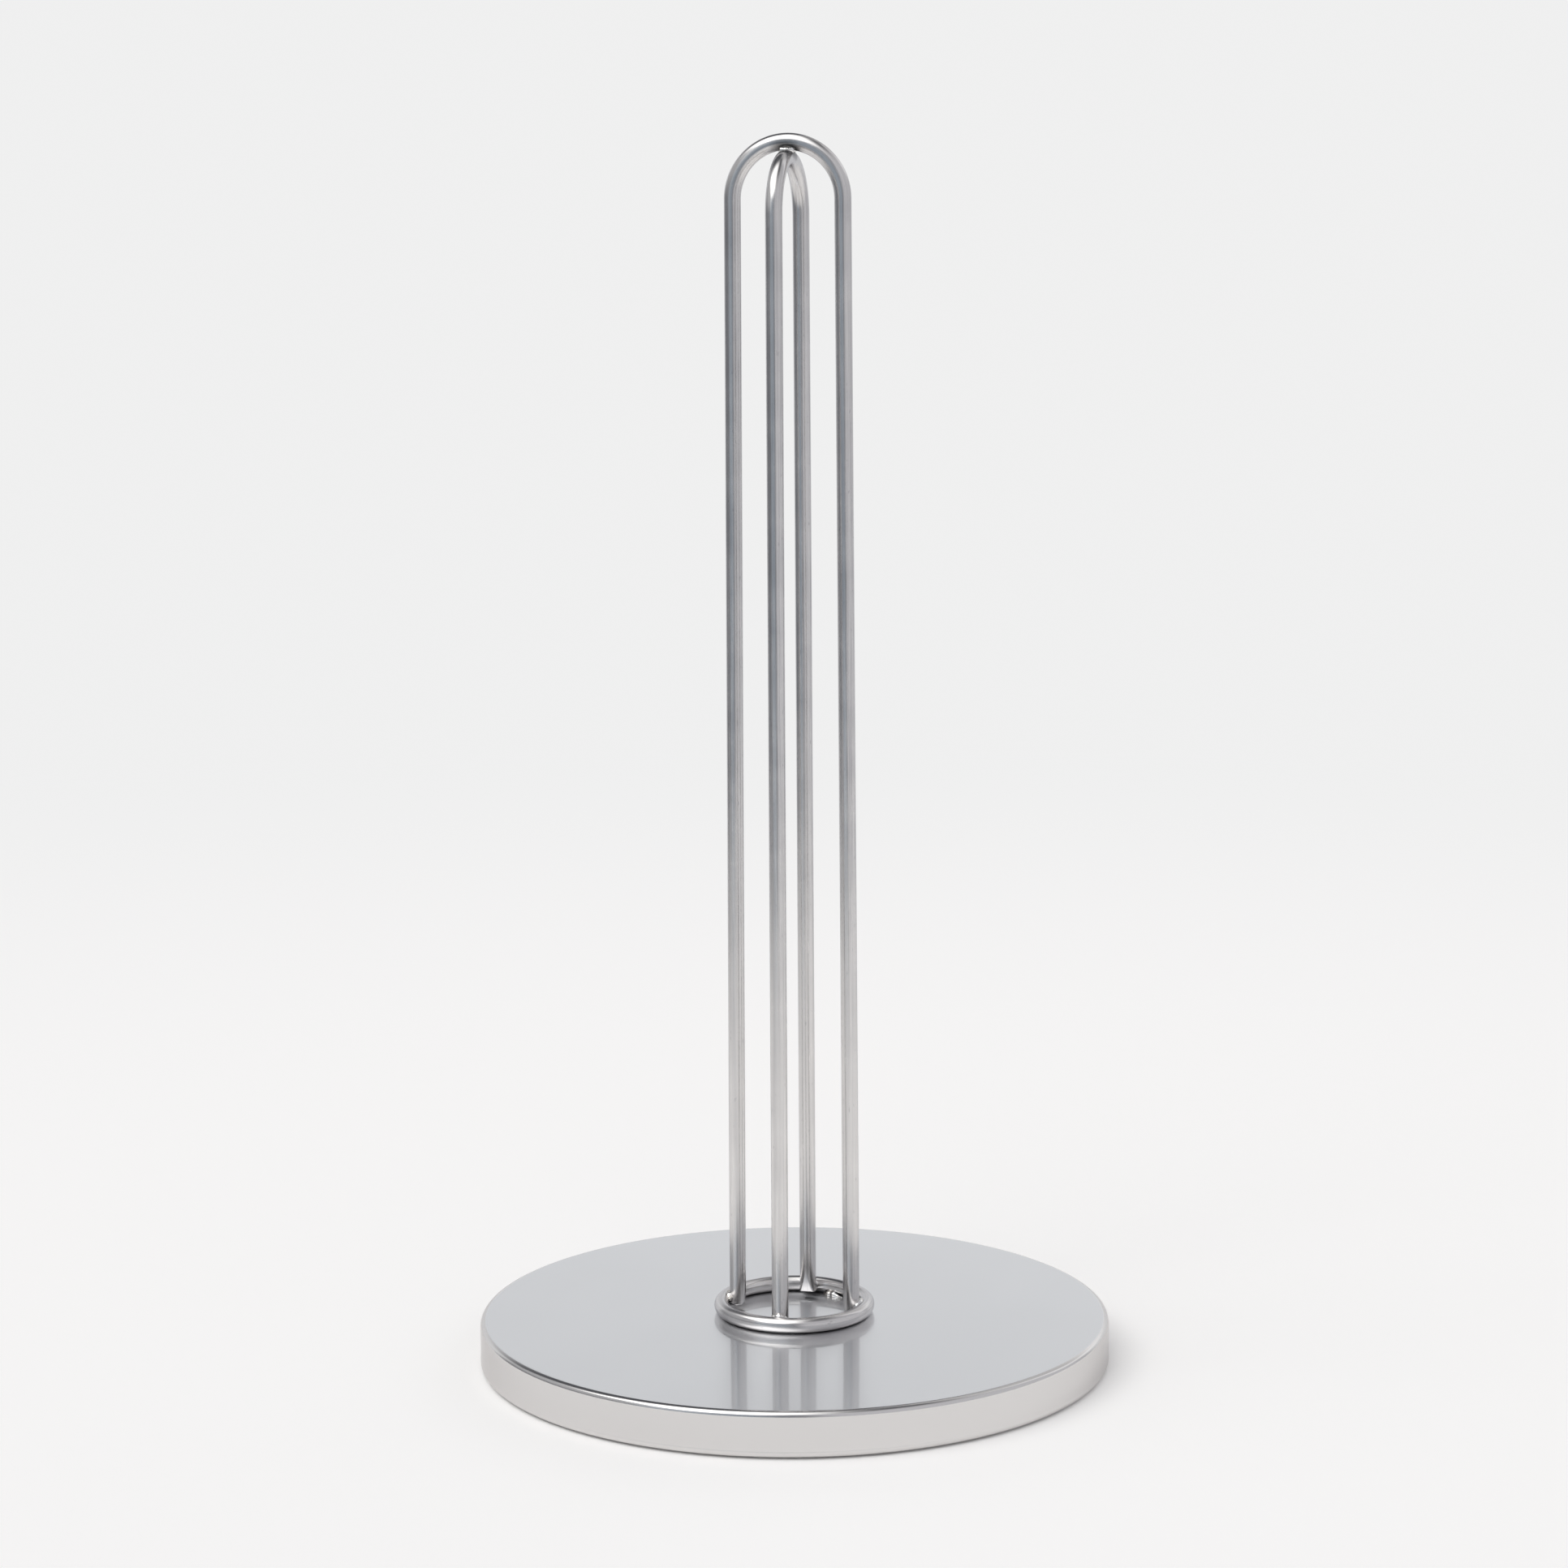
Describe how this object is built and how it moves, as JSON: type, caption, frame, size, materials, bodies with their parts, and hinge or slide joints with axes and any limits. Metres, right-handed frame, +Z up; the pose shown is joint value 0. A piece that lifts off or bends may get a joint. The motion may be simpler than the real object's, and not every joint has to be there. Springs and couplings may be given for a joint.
{
  "type": "paper towel holder",
  "caption": "Free-standing paper towel holder: a heavy round steel base with a slim rack of crossed wire arches that stands on a wire ring and takes an upright roll.",
  "frame": {"origin": "middle of the non-slip pad's underside, on the table", "axes": "+Z up along the post, the upper arch lies in the XZ plane and the lower arch in the YZ plane"},
  "size_m": [0.165, 0.165, 0.3175],
  "materials": {
    "satin_steel": "satin",
    "wire_steel": "satin",
    "weld_steel": "gloss",
    "ballast_iron": "matte",
    "closing_steel": "matte",
    "foot_rubber": "matte"
  },
  "bodies": {
    "root": {"base_cover": "satin_steel", "ballast_disc": "ballast_iron", "closing_plate": "closing_steel", "non_slip_pad": "foot_rubber", "foot_ring": "wire_steel", "upper_arch": "wire_steel", "lower_arch": "wire_steel", "crown_weld": "weld_steel", "leg_weld_right": "weld_steel", "leg_weld_back": "weld_steel", "leg_weld_left": "weld_steel", "leg_weld_front": "weld_steel", "ring_tack_back": "weld_steel", "ring_tack_front": "weld_steel"}
  },
  "joints": []
}
